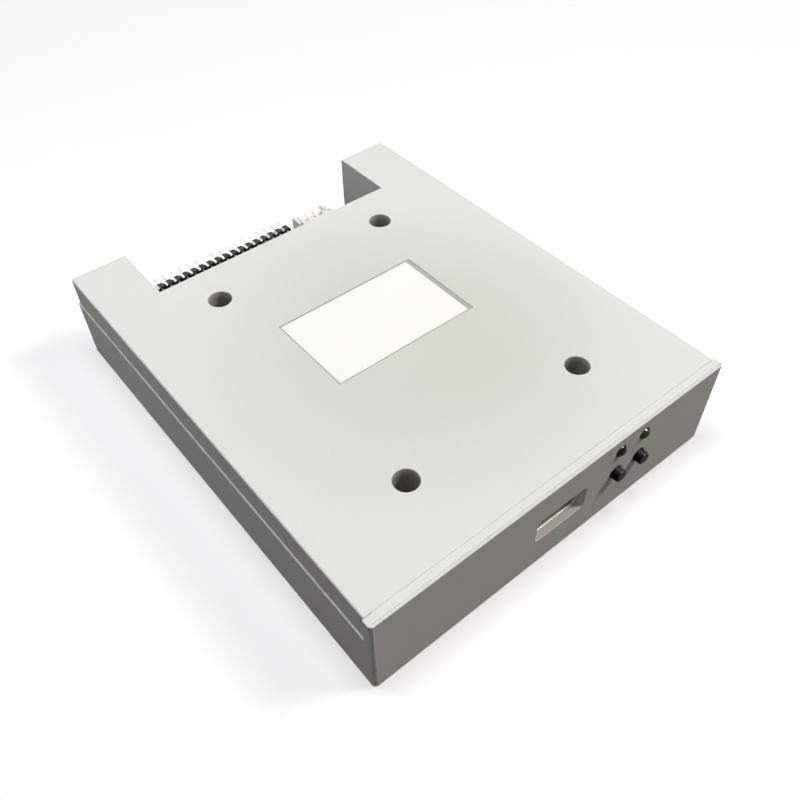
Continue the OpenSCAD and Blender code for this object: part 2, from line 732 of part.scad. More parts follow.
// Round lamp: a domed lens on a flange
module lamp(x) {
  dome_y = y_front - lamp_out + lamp_d / 2;
  bar_y(x, lamp_z, dome_y, lamp_y1, lamp_d);
  translate([x, dome_y, lamp_z]) sphere(d = lamp_d);
  bar_y(x, lamp_z, lamp_y1 - lamp_flange_t, lamp_y1, lamp_flange_d);
}

module red_lamp() color("#A3202E") lamp(lamp_xs[0]);

module green_lamp() color("#6B7F3A") lamp(lamp_xs[1]);

// Two bent leads from each lamp down through the board
module lamp_leads() color(steel) for (x = lamp_xs, s = [-1, 1])
  bent_lead(x + s * lamp_lead_pitch / 2, lamp_z, lamp_y1, lamp_drop_y, z_solder, lamp_lead, 0);

// Square base of a push switch, with the pocket for its spring dome
module switch_base(x) difference() {
  block([x - switch_w / 2, base_y0, board_z], [x + switch_w / 2, base_y1, switch_z1]);
  bar_y(x, button_z, base_y0 - eps, pocket_y, dome_d + 4 * stem_gap);
}

module left_switch_base() color(black) switch_base(lamp_xs[0]);

module right_switch_base() color(black) switch_base(lamp_xs[1]);

// Steel bracket that closes a switch and holds it upright on the board
module switch_bracket(x) difference() {
  union() {
    block([x - switch_w / 2 - bracket_t, switch_y0, board_z],
          [x + switch_w / 2 + bracket_t, base_y0, switch_z1]);
    for (s = [-1, 1])
      translate([x + s * (switch_w + bracket_t) / 2, (switch_y0 + base_y1) / 2, (z_solder + switch_z1) / 2])
        cube([bracket_t, base_y1 - switch_y0, switch_z1 - z_solder], center = true);
  }
  bar_y(x, button_z, switch_y0 - eps, base_y0 + eps, stem_d + 2 * stem_gap);
}

module left_switch_bracket() color(steel) switch_bracket(lamp_xs[0]);

module right_switch_bracket() color(steel) switch_bracket(lamp_xs[1]);

// Spring dome of a switch: a shallow arc turned about the button's axis, flat at its foot
module switch_dome(x) {
  ball_r = (pow(dome_d / 2, 2) + pow(dome_rise, 2)) / (2 * dome_rise);
  translate([x, pocket_y, button_z]) rotate([90, 0, 0]) rotate_extrude() intersection() {
    translate([0, dome_rise - ball_r]) difference() {
      circle(r = ball_r + dome_t);
      circle(r = ball_r);
    }
    square(dome_d);
  }
}

module left_switch_dome() color(steel) switch_dome(lamp_xs[0]);

module right_switch_dome() color(steel) switch_dome(lamp_xs[1]);

// Button: a stem through the panel, a collar behind the bracket and the nub on the dome
module button(x) {
  chamfer = stem_d / 10;
  bar_y(x, button_z, y_front - stem_out + chamfer, base_y0 + eps, stem_d);
  translate([x, y_front - stem_out, button_z]) rotate([-90, 0, 0])
    cylinder(d1 = stem_d - 2 * chamfer, d2 = stem_d, h = chamfer + eps);
  bar_y(x, button_z, base_y0, base_y0 + collar_t, collar_d);
  bar_y(x, button_z, base_y0, nub_end, nub_d);
}

module left_button() color(black) button(lamp_xs[0]);

module right_button() color(black) button(lamp_xs[1]);

// Body of the two-row data header, grooved between its columns, with its pin holes
module data_header() color(black) along_y(data_y0, data_y1) difference() {
  translate([data_x - data_w / 2, data_z0]) square([data_w, data_z1 - data_z0]);
  for (c = spread(data_columns + 1, pin_pitch), z = [data_z0, data_z1])
    translate([data_x + c, z]) rotate(45) square(groove * sqrt(2) / 2, center = true);
  for (c = spread(data_columns, pin_pitch), z = data_rows)
    translate([data_x + c, z]) square(pin_w + 2 * pin_gap, center = true);
}

// Data pins, the upper row bent down in front of the lower
module data_pins() color(steel) for (c = spread(data_columns, pin_pitch), r = [0, 1])
  bent_lead(data_x + c, data_rows[r], pin_tip, data_y0 - tail_l - r * pin_pitch, z_solder,
            pin_w, pin_taper);

// Body of the upright jumper block
module jumper_header() color(black) translate([0, 0, board_z]) linear_extrude(pin_pitch) difference() {
  translate([jumper_x, jumper_y]) square([jumper_columns * pin_pitch, 2 * pin_pitch], center = true);
  for (c = spread(jumper_columns + 1, pin_pitch), y = [-pin_pitch, pin_pitch])
    translate([jumper_x + c, jumper_y + y]) rotate(45) square(groove * sqrt(2) / 2, center = true);
  for (p = jumper_spots) translate(p) square(pin_w + 2 * pin_gap, center = true);
}

// Upright jumper pins
module jumper_pins() color(steel) for (p = jumper_spots)
  translate([p[0], p[1], z_solder]) linear_extrude(board_z + pin_pitch + jumper_pin_h - z_solder)
    square(pin_w, center = true);

// Cap pushed over the first pair of jumper pins
module jumper_cap() color(black) translate([0, 0, board_z + pin_pitch]) linear_extrude(cap_h) difference() {
  translate([jumper_spots[0][0], jumper_y])
    square([pin_pitch - 4 * pin_gap, 2 * pin_pitch - 4 * pin_gap], center = true);
  for (p = [jumper_spots[0], jumper_spots[1]]) translate(p) square(pin_w + 2 * pin_gap, center = true);
}

// Power header: a block, a tongue under the pins and two cheeks beside them
module power_header() color(white) difference() {
  union() {
    block([power_x - power_w / 2, power_y0, board_z], [power_x + power_w / 2, power_y1, power_z1]);
    block([power_x - power_w / 2, power_y1 - eps, board_z],
          [power_x + power_w / 2, pin_tip, board_z + power_wall]);
    for (x = [power_x - power_w / 2, power_x + power_w / 2 - power_wall])
      block([x, power_y1 - eps, board_z], [x + power_wall, pin_tip, board_z + power_cheek_h]);
  }
  for (x = spread(power_pins_n, power_pitch)) translate([power_x + x, 0, 0]) {
    translate([0, power_y0, power_pin_z])
      cube([pin_w + 2 * pin_gap, deep, pin_w + 2 * pin_gap], center = true);
    // Moulding notch over each pin
    translate([0, power_y1, power_z1])
      cube([power_notch_w, 2 * power_notch_l, 2 * power_notch_h], center = true);
  }
}

// Power pins, bent down in front of their block
module power_pins() color(steel) for (x = spread(power_pins_n, power_pitch))
  bent_lead(power_x + x, power_pin_z, pin_tip, power_y0 - tail_l, z_solder, pin_w, pin_taper);

// Gull-wing leads along both long sides of a package, turned by a about its centre
module gull_leads(at, a, half, n, pitch, w) {
  knee = half + lead_knee;
  translate([at[0], at[1], board_z]) rotate(a) for (s = [0, 180], x = spread(n, pitch)) rotate(s)
    along_x(x, w) polygon([
      [half, chip_t / 2], [knee, chip_t / 2], [knee + lead_lean, chip_lead_t],
      [half + lead_reach, chip_lead_t], [half + lead_reach, 0], [knee - lead_lean, 0],
      [knee - 2 * lead_lean, chip_t / 2 - chip_lead_t], [half, chip_t / 2 - chip_lead_t]
    ]);
}

// A flat chip package on the board
module chip(at, w, l) {
  translate([at[0] - w / 2, at[1] - l / 2, board_z]) cube([w, l, chip_t]);
}

module processor() color(black) chip(processor_at, processor_w, processor_w);

module processor_leads() color(steel) for (a = [0, 90])
  gull_leads(processor_at, a, processor_w / 2, processor_leads_n, processor_pitch, processor_pitch / 2);

module bus_drivers() color(black) for (p = driver_ats) chip(p, driver_l, driver_w);

module driver_leads() color(steel) for (p = driver_ats)
  gull_leads(p, 0, driver_w / 2, driver_leads_n, driver_pitch, driver_pitch / 3);

// Voltage regulator with its cooling tab
module regulator() color(black) translate([regulator_at[0], regulator_at[1], board_z]) {
  translate([-regulator_w / 2, -regulator_l / 2, 0]) cube([regulator_w, regulator_l, chip_t]);
  translate([-regulator_tab_w / 2, regulator_l / 2 - eps, 0])
    cube([regulator_tab_w, regulator_tab_l + eps, chip_lead_t]);
}

// Crystal in a can with round ends and a rim at its foot
module crystal() color(steel) translate([crystal_at[0], crystal_at[1], board_z])
  for (r = [[0, crystal_h], [crystal_rim, crystal_rim_h]]) linear_extrude(r[1]) {
    square([crystal_l - crystal_w, crystal_w + 2 * r[0]], center = true);
    for (s = [-1, 1]) translate([s * (crystal_l - crystal_w) / 2, 0]) circle(d = crystal_w + 2 * r[0]);
  }

// Can capacitors on their square feet
module capacitors() color(steel) for (p = capacitor_ats) translate([p[0], p[1], board_z]) {
  translate([-can_foot / 2, -can_foot / 2, 0]) cube([can_foot, can_foot, chip_t]);
  cylinder(d = can_d, h = can_h);
}

// Row of chip resistors in front of the notch
module chip_resistors() color(black) for (x = spread(resistors_n, pin_pitch))
  translate([data_x + x - resistor_w / 2, resistor_y - resistor_l / 2, board_z])
    cube([resistor_w, resistor_l, resistor_t]);

bottom_case();
top_cover();
label();
main_board();
cover_screws();
usb_shell();
usb_tongue();
usb_contacts();
red_lamp();
green_lamp();
lamp_leads();
left_switch_base();
right_switch_base();
left_switch_bracket();
right_switch_bracket();
left_switch_dome();
right_switch_dome();
left_button();
right_button();
data_header();
data_pins();
power_header();
power_pins();
jumper_header();
jumper_pins();
jumper_cap();
processor();
processor_leads();
bus_drivers();
driver_leads();
regulator();
crystal();
capacitors();
chip_resistors();
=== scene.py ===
# %% [markdown]
# A floppy drive emulator, dressed for its portrait
#
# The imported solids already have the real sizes, so this lesson loads them as a fixed frame. Solids whose
# shape is right stay and only get softer edges and a finish. Small pieces that catch the light, such as
# the buttons, lamps and pins, are drawn again as rounder surfaces worked out with numpy.

# %% Load the frame
import math

import bmesh
import bpy
import numpy as np
from mathutils import Matrix, Vector


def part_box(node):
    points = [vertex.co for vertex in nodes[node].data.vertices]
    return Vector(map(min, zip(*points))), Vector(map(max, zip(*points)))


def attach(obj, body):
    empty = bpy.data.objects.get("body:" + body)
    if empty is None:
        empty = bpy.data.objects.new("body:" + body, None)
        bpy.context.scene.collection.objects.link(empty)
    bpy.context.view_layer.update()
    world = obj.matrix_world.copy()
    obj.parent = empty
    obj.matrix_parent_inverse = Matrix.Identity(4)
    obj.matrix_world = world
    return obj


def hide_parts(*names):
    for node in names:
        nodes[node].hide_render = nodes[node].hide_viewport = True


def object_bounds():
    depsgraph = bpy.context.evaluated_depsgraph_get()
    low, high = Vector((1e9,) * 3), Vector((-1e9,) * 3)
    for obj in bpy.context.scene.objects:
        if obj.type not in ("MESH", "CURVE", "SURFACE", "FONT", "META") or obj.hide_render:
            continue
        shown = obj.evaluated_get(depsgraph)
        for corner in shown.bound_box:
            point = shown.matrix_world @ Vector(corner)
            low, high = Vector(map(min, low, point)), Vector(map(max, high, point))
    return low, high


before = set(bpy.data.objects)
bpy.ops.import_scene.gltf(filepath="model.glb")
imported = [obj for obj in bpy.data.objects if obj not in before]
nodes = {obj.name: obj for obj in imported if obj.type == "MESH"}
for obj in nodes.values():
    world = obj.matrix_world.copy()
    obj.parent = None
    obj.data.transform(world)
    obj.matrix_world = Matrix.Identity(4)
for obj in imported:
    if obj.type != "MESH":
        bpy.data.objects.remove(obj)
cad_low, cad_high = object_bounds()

MM = 0.001
print("CAD box, mm:", [round(size / MM, 2) for size in cad_high - cad_low])

# %% [markdown]
# The camera
#
# The photograph was taken from above the front left corner, about 20 cm away, with a slightly wide lens.
# A camera is three unit vectors and a place: the way back to it from its target, its right and its up,
# turned a little because the picture is tilted. It could be aimed by eye, but its angles, distance and
# lens were fitted to the corners of the case, so that the render lies over the photograph.

# %% Camera
VIEW_AZIMUTH = math.radians(-38.566)
VIEW_ELEVATION = math.radians(47.906)
VIEW_ROLL = math.radians(-1.007)
VIEW_DISTANCE = 197.367 * MM
VIEW_TARGET = Vector((-5.335, -15.036, 12.5)) * MM
LENS_MM = 37.093
SENSOR_MM = 36.0

level = math.cos(VIEW_ELEVATION)
view_back = Vector(
    (math.sin(VIEW_AZIMUTH) * level, -math.cos(VIEW_AZIMUTH) * level, math.sin(VIEW_ELEVATION))
)
view_right = Vector((0, 0, 1)).cross(view_back).normalized()
view_up = view_back.cross(view_right)
tilted_right = math.cos(VIEW_ROLL) * view_right + math.sin(VIEW_ROLL) * view_up
tilted_up = math.cos(VIEW_ROLL) * view_up - math.sin(VIEW_ROLL) * view_right

camera_data = bpy.data.cameras.new("camera")
camera_data.lens = LENS_MM
camera_data.sensor_width = SENSOR_MM
camera_data.clip_start = MM
camera = bpy.data.objects.new("camera", camera_data)
bpy.context.scene.collection.objects.link(camera)
camera_place = VIEW_TARGET + view_back * VIEW_DISTANCE
camera_axes = Matrix((tilted_right, tilted_up, view_back)).transposed()
camera.matrix_world = Matrix.Translation(camera_place) @ camera_axes.to_4x4()
bpy.context.scene.camera = camera
print("camera at, mm:", [round(place / MM, 1) for place in camera_place])

# %% [markdown]
# Helpers for finishes
#
# A finish is a tree of shader nodes. One function adds any node: its settings are the node's properties,
# and each socket is given either a constant or the output that feeds it. Colours are written as the sRGB
# hex values that a painter's chart would give, and turned to the linear light that the renderer mixes.

# %% Colours and nodes
SRGB_KNEE = 0.04045
SRGB_SLOPE = 12.92
SRGB_OFFSET = 0.055
SRGB_POWER = 2.4


def srgb(code):
    """An sRGB hex colour as linear red, green and blue, with full alpha: a straight line near black, and
    a power curve above it."""
    part = np.array([int(code[i : i + 2], 16) for i in (1, 3, 5)]) / 255
    curve = ((part + SRGB_OFFSET) / (1 + SRGB_OFFSET)) ** SRGB_POWER
    linear = np.where(part <= SRGB_KNEE, part / SRGB_SLOPE, curve)
    return (*linear.tolist(), 1.0)


def add_node(tree, kind, sockets=None, out=0, **settings):
    """Add one shader node and hand on one of its outputs. A socket, by name or number, is linked if it
    gets an output and set if it gets a constant."""
    node = tree.nodes.new("ShaderNode" + kind)
    for name, value in settings.items():
        setattr(node, name, value)
    for key, value in (sockets or {}).items():
        if isinstance(value, bpy.types.NodeSocket):
            tree.links.new(value, node.inputs[key])
        else:
            node.inputs[key].default_value = value
    return node.outputs[out] if node.outputs else None


print("middle grey in linear light:", round(srgb("#808080")[0], 3))

# %% [markdown]
# One grain for every finish
#
# Nothing real has one flat colour. Each finish here has a grain of the size that the real surface shows.
# It could come from an image, but a noise on the object's own coordinates has no seams and keeps its real
# size on every piece. The same noise moves the colour, the roughness and the height. After its name, a
# finish has its two colours, its roughness from and to, and the size and the height of its grain in
# millimetres.

# %% A finish with a grain
GRAIN_DETAIL = 3.0
# The Mix node has sockets of the same names for numbers and colours, so those for colours go by number.
MIX_SHARE, MIX_FIRST, MIX_SECOND, MIX_RESULT = 0, 6, 7, 2


def mottled(name, colours, rough, grain_mm, lift_mm, **constants):
    """A finish with one grain: a noise of that size mixes two colours, moves the roughness between two
    values and lifts the surface by lift_mm. The constants go on the shader's own sockets."""
    material = bpy.data.materials.new(name)
    material.use_nodes = True
    tree = material.node_tree
    tree.nodes.clear()
    place = add_node(tree, "TexCoord", out="Object")
    noise = {"Vector": place, "Scale": 1 / (grain_mm * MM), "Detail": GRAIN_DETAIL}
    grain = add_node(tree, "TexNoise", noise)
    pair = {MIX_SHARE: grain, MIX_FIRST: srgb(colours[0]), MIX_SECOND: srgb(colours[1])}
    sockets = {
        "Base Color": add_node(tree, "Mix", pair, MIX_RESULT, data_type="RGBA"),
        "Roughness": add_node(tree, "MapRange", {"Value": grain, "To Min": rough[0], "To Max": rough[1]}),
        "Normal": add_node(tree, "Bump", {"Height": grain, "Distance": lift_mm * MM, "Strength": 1.0}),
    }
    sockets.update({key.replace("_", " "): value for key, value in constants.items()})
    surface = add_node(tree, "BsdfPrincipled", sockets)
    add_node(tree, "OutputMaterial", {"Surface": surface})
    return material


print("detail of a grain:", GRAIN_DETAIL)

# %% [markdown]
# Moulded ABS
#
# The case is light grey ABS moulded in a spark-eroded tool, which leaves an even satin of fine pits, so
# its gloss is faint. Two noises make it: a fine one for the pits, drawn at 0.3 mm because the real 0.1 mm
# grain is too fine to show, and a broad one for faint clouds of a random tone. Round the middle of the top
# the clouds are also a painted shade: they darken and green the grey there, and fade out towards the edges.

# %% Moulded ABS
CLOUD_MM = 55
CLOUD_DETAIL = 1.0
# The clouds' grey is partly a random tone and partly a painted shade in the middle of the top.
CLOUD_AND_SHADE_GREY = "#C4C7BC"
SHADE_CENTRE_MM = (2, -10, 25)
SHADE_NEAR_MM, SHADE_FAR_MM = 12, 62
CLOUD_SHARE = (0.3, 0.7)

case_abs = mottled(
    "moulded_abs_light_grey",
    ("#E9EAE5", "#E2E3DD"),
    (0.55, 0.68),
    0.3,
    0.012,
    IOR=1.53,
    Specular_IOR_Level=0.07,
)
tree = case_abs.node_tree
abs_colour = tree.nodes["Principled BSDF"].inputs["Base Color"]
abs_place = tree.nodes["Texture Coordinate"].outputs["Object"]

fine_colour = abs_colour.links[0].from_socket
cloud_noise = {"Vector": abs_place, "Scale": 1 / (CLOUD_MM * MM), "Detail": CLOUD_DETAIL}
cloud = add_node(tree, "TexNoise", cloud_noise)
density = add_node(tree, "MapRange", {"Value": cloud, "To Min": CLOUD_SHARE[0], "To Max": CLOUD_SHARE[1]})
shade_centre = [value * MM for value in SHADE_CENTRE_MM]
from_middle = add_node(tree, "VectorMath", {0: abs_place, 1: shade_centre}, "Value", operation="DISTANCE")
middle_shade_ends = {"From Min": SHADE_FAR_MM * MM, "From Max": SHADE_NEAR_MM * MM}
# Painted shade: the clouds are strongest round the middle of the top and fade to nothing towards its edges.
painted_middle_shade = add_node(
    tree, "MapRange", {"Value": from_middle, **middle_shade_ends}, interpolation_type="SMOOTHSTEP"
)
cloud_and_shade_share = add_node(tree, "Math", {0: density, 1: painted_middle_shade}, operation="MULTIPLY")
cloud_pair = {MIX_SHARE: cloud_and_shade_share, MIX_FIRST: fine_colour, MIX_SECOND: srgb(CLOUD_AND_SHADE_GREY)}
clouded_and_shaded = add_node(tree, "Mix", cloud_pair, MIX_RESULT, data_type="RGBA")
print("clouds end at, mm:", SHADE_FAR_MM)

# %% [markdown]
# The four screw wells are deep and narrow, and their walls get a painted shade: a darker grey that stands
# in for the shade inside them. Folding the plan along the lines between the wells brings all four on one
# axis, so that one distance tells a well's wall from the top. The colour sinks to the grey of the painted
# shade over the first millimetres of depth.

# %% Painted shade in the wells
WELL_REACH_MM = 3.0
# Painted shade: a darker grey on the walls of the wells, where shade falls.
WELL_SHADE_GREY = "#B0AEA2"
WELL_RIM_MM = 0.2
SHADE_DEPTH_MM = 2.0
SCREW_HEAD_R_MM = 2.6

screw_low, screw_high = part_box("cover_screws")
well_middle = (screw_low + screw_high) / 2
well_half = (screw_high - screw_low) / 2 - Vector((1, 1, 0)) * SCREW_HEAD_R_MM * MM
well_centre = (well_middle.x, well_middle.y, 0)
well_axis = (well_half.x, well_half.y, 0)
shifted = add_node(tree, "VectorMath", {0: abs_place, 1: well_centre}, operation="SUBTRACT")
folded = add_node(tree, "VectorMath", {0: shifted}, operation="ABSOLUTE")
from_axis = add_node(tree, "VectorMath", {0: folded, 1: well_axis}, operation="SUBTRACT")
in_plan = add_node(tree, "VectorMath", {0: from_axis, 1: (1, 1, 0)}, operation="MULTIPLY")
axis_distance = add_node(tree, "VectorMath", {0: in_plan}, "Value", operation="LENGTH")
inside = add_node(tree, "Math", {0: axis_distance, 1: WELL_REACH_MM * MM}, operation="LESS_THAN")
height = add_node(tree, "SeparateXYZ", {0: abs_place}, "Z")
rim = cad_high.z - WELL_RIM_MM * MM
well_shade_ends = {"From Min": rim, "From Max": rim - SHADE_DEPTH_MM * MM}
depth = add_node(tree, "MapRange", {"Value": height, **well_shade_ends})
well_shade_share = add_node(tree, "Math", {0: inside, 1: depth}, operation="MULTIPLY")
well_shade_pair = {MIX_SHARE: well_shade_share, MIX_FIRST: clouded_and_shaded, MIX_SECOND: srgb(WELL_SHADE_GREY)}
well_shaded = add_node(tree, "Mix", well_shade_pair, MIX_RESULT, data_type="RGBA")
print("wells at, mm:", [round(value / MM, 2) for value in well_axis[:2]])

# %% [markdown]
# The narrow gap round the label gets a painted shade too: a grey that stands in for the shade in the gap.
# Inside the label's outline, widened by the gap, that is all of the case that stays below the top, so two
# widths and a height are enough to find it.

# %% Painted shade round the label
# Painted shade: a grey in the narrow gap round the label, where shade falls.
GAP_SHADE_GREY = "#B4B5AE"
GAP_REACH_MM = 1.6
GAP_TOP_MM = 0.12

label_low, label_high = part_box("label")
label_middle = (label_low + label_high) / 2
label_reach = (label_high - label_low) / 2 + Vector((1, 1, 0)) * GAP_REACH_MM * MM
gap_top = cad_high.z - GAP_TOP_MM * MM
from_label = add_node(tree, "VectorMath", {0: abs_place, 1: label_middle}, operation="SUBTRACT")
label_offset = add_node(tree, "VectorMath", {0: from_label}, operation="ABSOLUTE")
offset_x = add_node(tree, "SeparateXYZ", {0: label_offset}, "X")
offset_y = add_node(tree, "SeparateXYZ", {0: label_offset}, "Y")
near_x = add_node(tree, "Math", {0: offset_x, 1: label_reach.x}, operation="LESS_THAN")
near_y = add_node(tree, "Math", {0: offset_y, 1: label_reach.y}, operation="LESS_THAN")
below = add_node(tree, "Math", {0: height, 1: gap_top}, operation="LESS_THAN")
near = add_node(tree, "Math", {0: near_x, 1: near_y}, operation="MULTIPLY")
in_gap = add_node(tree, "Math", {0: near, 1: below}, operation="MULTIPLY")
gap_pair = {MIX_SHARE: in_gap, MIX_FIRST: well_shaded, MIX_SECOND: srgb(GAP_SHADE_GREY)}
greyed = add_node(tree, "Mix", gap_pair, MIX_RESULT, data_type="RGBA")
tree.links.new(greyed, abs_colour)
print("nodes in the ABS:", len(tree.nodes))

# %% [markdown]
# The other finishes
#
# Each is one grain of a real size between two close colours. Paper has fibres, nylon is waxy and a little
# cloudy, and black mouldings show the glass fibres that fill them. The gloss of the paper and of the
# black buttons is held back, because the photograph shows next to none.

# %% Paper and plastics
label_paper = mottled(
    "coated_label_paper",
    ("#FDFDF8", "#F7F8F1"),
    (0.5, 0.62),
    0.25,
    0.002,
    IOR=1.5,
    Specular_IOR_Level=0.1,
)
white_nylon = mottled("natural_nylon", ("#F4F3EA", "#EAE9DE"), (0.35, 0.5), 0.8, 0.004, IOR=1.53)
black_nylon = mottled(
    "black_glass_filled_nylon",
    ("#0D0C0C", "#151313"),
    (0.4, 0.52),
    0.25,
    0.004,
    IOR=1.53,
    Specular_IOR_Level=0.02,
)
header_resin = mottled("black_header_resin", ("#101012", "#19191B"), (0.1, 0.16), 0.4, 0.0008, IOR=1.55)
chip_epoxy = mottled("moulded_chip_epoxy", ("#1E1E20", "#2A2A2D"), (0.5, 0.65), 0.15, 0.004, IOR=1.55)
print("finishes:", len(bpy.data.materials))

# %% [markdown]
# Tin and nickel plating keep the rolling marks of the sheet below. The board is green because of a thin
# lacquer, which is paler where copper lies under it. The lamps' resin is tinted and a little cloudy, so
# most of its colour comes from its surface and only a part of the light goes through. Its index is set
# below the 1.5 of real resin, because the lenses show one small glint and hardly any other reflection.

# %% Metals, board and resin
nickel_steel = mottled(
    "nickel_plated_steel", ("#B4B1AC", "#A09D99"), (0.28, 0.42), 0.5, 0.002, Metallic=1.0
)
tinned_wire = mottled("tin_plated_wire", ("#E4E4E2", "#D0D0CE"), (0.34, 0.5), 0.4, 0.002, Metallic=1.0)
zinc_steel = mottled("zinc_plated_steel", ("#B9BBBE", "#9FA2A6"), (0.28, 0.45), 0.6, 0.004, Metallic=1.0)
gilt_bronze = mottled(
    "gilt_phosphor_bronze", ("#D9B45A", "#C9A24A"), (0.2, 0.32), 0.4, 0.002, Metallic=1.0
)
bare_aluminium = mottled("drawn_aluminium", ("#D6D8DA", "#C3C6C9"), (0.25, 0.4), 0.5, 0.002, Metallic=1.0)
solder_tin = mottled("soft_solder", ("#CFCFCC", "#B4B4B1"), (0.25, 0.42), 0.35, 0.004, Metallic=1.0)
solder_mask = mottled("green_solder_mask", ("#1C5C38", "#17502F"), (0.22, 0.34), 0.7, 0.004, IOR=1.5)
masked_copper = mottled(
    "solder_mask_over_copper", ("#2F7A4A", "#2A7043"), (0.22, 0.34), 0.7, 0.004, IOR=1.5
)
tint = {"IOR": 1.3, "Specular_IOR_Level": 0.1, "Transmission_Weight": 0.15}
red_resin = mottled("red_tinted_resin", ("#520714", "#3A040D"), (0.05, 0.09), 1.2, 0.001, **tint)
green_resin = mottled("green_tinted_resin", ("#424E26", "#343F1E"), (0.05, 0.09), 1.2, 0.001, **tint)
print("finishes:", len(bpy.data.materials))

# %% [markdown]
# Helpers for surfaces
#
# A surface is a grid of points: one parameter runs along the rows, the other along the columns. Points
# that fall together at a pole are merged, the faces are turned outwards, and edges sharper than an angle
# stay sharp. Sizes are in millimetres until the mesh is filled.

# %% From grids of points to pieces
CASE = "case"
SHARP_ANGLE = math.radians(40)
MERGE_M = 1e-7


def quads(shape, wrap_rows):
    """Corner numbers of the quads that join each grid point to its next neighbours. Columns always wrap."""
    copies, rows, columns = shape
    last = rows if wrap_rows else rows - 1
    k, i, j = np.meshgrid(np.arange(copies), np.arange(last), np.arange(columns), indexing="ij")
    next_i, next_j = (i + 1) % rows, (j + 1) % columns
    corners = [i * columns + j, i * columns + next_j, next_i * columns + next_j, next_i * columns + j]
    return (np.stack(corners, -1) + (k * rows * columns)[..., None]).reshape(-1, 4)


def add_piece(name, surfaces, finish, body=CASE, replaces=()):
    """Make one piece of several grids of points, each (copies, rows, columns, 3) in mm with a flag that
    says whether its rows wrap, give it a finish and let it ride on a body."""
    faces, points, start = [], [], 0
    for grid, wrap_rows in surfaces:
        faces.append(quads(grid.shape[:3], wrap_rows) + start)
        points.append(grid.reshape(-1, 3) * MM)
        start += points[-1].shape[0]
    mesh = bpy.data.meshes.new(name)
    mesh.from_pydata(np.concatenate(points), [], np.concatenate(faces))
    shape = bmesh.new()
    shape.from_mesh(mesh)
    bmesh.ops.remove_doubles(shape, verts=shape.verts, dist=MERGE_M)
    bmesh.ops.recalc_face_normals(shape, faces=shape.faces)
    shape.to_mesh(mesh)
    shape.free()
    mesh.shade_smooth()
    mesh.set_sharp_from_angle(angle=SHARP_ANGLE)
    mesh.materials.append(finish)
    piece = bpy.data.objects.new(name, mesh)
    bpy.context.scene.collection.objects.link(piece)
    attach(piece, body)
    if replaces:
        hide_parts(*replaces)
    print(name, len(mesh.polygons), "faces")


def middle(node):
    """Centre, lowest and highest corner of a CAD node, in mm."""
    low, high = (np.array(corner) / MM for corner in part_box(node))
    return (low + high) / 2, low, high


print("board, mm:", np.round(middle("main_board")[2] - middle("main_board")[1], 2))

# %% [markdown]
# Round pieces are turned, as on a lathe: a profile of radius and height goes round an axis. Arcs in the
# profile give the soft edges that catch the light.

# %% Turned shapes
TURN_STEPS = 48
ARC_STEPS = 8


def turned(profile, axis, centres):
    """A profile turned about a line: each point (radius, height) goes round the axis in equal steps, with
    its height along the axis, once at each centre."""
    radius, height = np.array(profile, float).T
    turn = np.linspace(0, 2 * np.pi, TURN_STEPS, endpoint=False)
    across = radius[:, None] * np.cos(turn), radius[:, None] * np.sin(turn)
    along = np.repeat(height[:, None], TURN_STEPS, 1)
    order = {"y": (across[0], along, across[1]), "z": (across[0], across[1], along)}[axis]
    return np.array(centres, float)[:, None, None, :] + np.stack(order, -1)[None]


def arc(centre, radius, start, end, steps=ARC_STEPS):
    """Points of a circular arc in the profile's plane, from one angle to another in degrees."""
    angle = np.radians(np.linspace(start, end, steps))
    return [(centre[0] + radius * math.cos(a), centre[1] + radius * math.sin(a)) for a in angle]


print("steps round a turned piece:", TURN_STEPS)

# %% [markdown]
# Push buttons
#
# Each button is a turned stem that stands out of the panel, with a collar that keeps it in its switch and
# a nub that presses the spring dome. Cylinders with a bevel could make it, but one turned profile is a
# single closed surface, with a dished face and the soft front edge that the light picks out.

# %% Push buttons
STEM_R = 1.55
STEM_EDGE_R = 0.3
DISH_DEPTH = 0.06
DISH_MID_R = 0.62
DISH_MID_DEPTH = 0.042
COLLAR_R = 2.3
COLLAR_T = 0.7
NUB_R = 1.0
NUB_L = 0.4
NUB_TIP_R = 0.8
NUB_TIP_L = 0.1

for side in ("left", "right"):
    centre, low, high = middle(side + "_button")
    front, nub_end = low[1], high[1]
    collar_back = nub_end - NUB_L
    collar_front = collar_back - COLLAR_T
    face_r = STEM_R - STEM_EDGE_R
    profile = [(0, front + DISH_DEPTH), (DISH_MID_R, front + DISH_MID_DEPTH), (face_r, front)]
    profile += arc((face_r, front + STEM_EDGE_R), STEM_EDGE_R, -90, 0)
    profile += [(STEM_R, collar_front), (COLLAR_R, collar_front), (COLLAR_R, collar_back)]
    profile += [(NUB_R, collar_back), (NUB_R, nub_end - NUB_TIP_L), (NUB_TIP_R, nub_end), (0, nub_end)]
    add_piece(
        side + "_button_cap",
        [(turned(profile, "y", [(centre[0], 0, centre[2])]), False)],
        black_nylon,
        body=side + "_button_body",
        replaces=[side + "_button"],
    )

# %% [markdown]
# Lamps
#
# A lamp is a drop of tinted resin cast round a small reflector cup. The lens is one turned profile:
# a quarter of a flattened circle for the dome, a straight barrel and a flange. A sphere on a cylinder would
# leave a seam where they meet. The cup inside gives the resin something to show when it is looked into.

# %% Lamps
LENS_R = 1.5
DOME_H = 1.3
DOME_STEPS = 16
FLANGE_R = 1.8
FLANGE_T = 1.0
FLANGE_EDGE_R = 0.15
FLANGE_STEPS = 4
CUP_R = 0.7
CUP_INNER_R = 0.55
CUP_FLOOR_R = 0.275
CUP_DEPTH = 0.5
CUP_WALL = 0.15
CUP_BACK = 1.5
POST_R = 0.25
POST_STOP = 0.1

